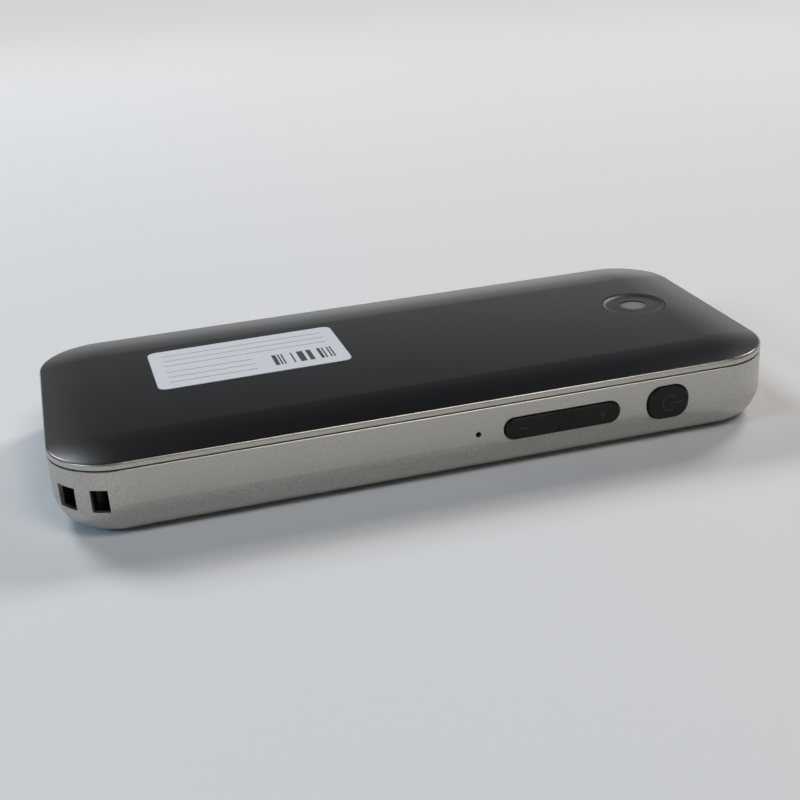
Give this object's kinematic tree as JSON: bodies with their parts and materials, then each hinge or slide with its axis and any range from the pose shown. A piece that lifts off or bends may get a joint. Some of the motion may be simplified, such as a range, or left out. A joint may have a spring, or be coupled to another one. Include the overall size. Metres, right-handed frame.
{
  "type": "handheld translator",
  "caption": "Slim pocket translator slab with a metal-look frame, crowned back cover, side rocker and oval button, rear camera ring and corner lanyard loop.",
  "frame": {"origin": "middle of the front glass, which lies on the surface", "axes": "+X along the body towards the lens end, +Z out of the back cover, buttons on the -Y side"},
  "size_m": [0.1286, 0.0582, 0.0147],
  "materials": {
    "cover_metal": "satin dark grey paint",
    "frame_metal": "fine sandblasted",
    "label_film": "matt white film",
    "button_plastic": "fine textured matt",
    "front_glass": "polished, black backed",
    "adhesive": "black foam tape",
    "display_plastic": "metal backed display module",
    "flex_film": "amber film",
    "chassis_steel": "stamped sheet",
    "screw_steel": "blackened steel",
    "board_laminate": "green solder mask",
    "chip_plastic": "moulded epoxy",
    "shield_steel": "tinned sheet",
    "battery_foil": "foil pouch",
    "socket_steel": "drawn stainless",
    "black_plastic": "moulded",
    "mesh_steel": "woven, blackened",
    "camera_ring_paint": "satin black",
    "lens_glass": "coated glass"
  },
  "bodies": {
    "housing": {"back_cover": "cover_metal", "rating_label": "label_film", "mid_frame": "frame_metal", "cover_glass": "front_glass", "glass_gasket": "adhesive", "display_panel": "display_plastic", "display_flex": "flex_film", "inner_chassis": "chassis_steel", "board_screws": "screw_steel", "main_board": "board_laminate", "shield_can": "shield_steel", "application_processor": "chip_plastic", "memory_chip": "chip_plastic", "power_chip": "chip_plastic", "radio_module": "shield_steel", "antenna_flex": "flex_film", "sub_board": "board_laminate", "usb_shell": "socket_steel", "usb_tongue": "black_plastic", "speaker_mesh": "mesh_steel", "loudspeaker": "black_plastic", "side_microphone": "shield_steel", "mic_boot": "adhesive", "bottom_microphone": "shield_steel", "battery_pack": "battery_foil", "battery_tape": "adhesive", "battery_plug": "black_plastic", "board_link_flex": "flex_film", "camera_ring": "camera_ring_paint", "camera_window": "lens_glass", "camera_module": "black_plastic", "camera_lens": "lens_glass", "camera_foam": "adhesive", "volume_up_switch": "shield_steel", "volume_down_switch": "shield_steel", "power_switch": "shield_steel", "side_key_flex": "flex_film", "side_key_bracket": "chassis_steel"},
    "volume_rocker": {"volume_rocker": "button_plastic"},
    "power_button": {"power_button": "button_plastic"},
    "volume_up_plunger": {"volume_up_plunger": "black_plastic"},
    "volume_down_plunger": {"volume_down_plunger": "black_plastic"},
    "power_plunger": {"power_plunger": "black_plastic"}
  },
  "joints": [
    {"name": "volume_rocker_tilt", "type": "hinge", "parent": "housing", "child": "volume_rocker", "pos_m": [0.0216, -0.0257, 0.0079], "axis": [0, 0, 1], "range_deg": [-2, 2], "stiffness_Nm_per_rad": 0.35},
    {"name": "power_button_press", "type": "slide", "parent": "housing", "child": "power_button", "axis": [0, 1, 0], "range_m": [0, 0.0003], "stiffness_N_per_m": 5000},
    {"name": "volume_up_plunger_press", "type": "slide", "parent": "housing", "child": "volume_up_plunger", "axis": [0, 1, 0], "range_m": [-0.00028, 0.00028]},
    {"name": "volume_down_plunger_press", "type": "slide", "parent": "housing", "child": "volume_down_plunger", "axis": [0, 1, 0], "range_m": [-0.00028, 0.00028]},
    {"name": "power_plunger_press", "type": "slide", "parent": "housing", "child": "power_plunger", "axis": [0, 1, 0], "range_m": [0, 0.0003]}
  ],
  "couplings": [
    {"joint": "volume_up_plunger_press", "follows": "volume_rocker_tilt", "m_per_rad": 0.0076},
    {"joint": "volume_down_plunger_press", "follows": "volume_rocker_tilt", "m_per_rad": -0.0076},
    {"joint": "power_plunger_press", "follows": "power_button_press", "ratio": 1}
  ]
}
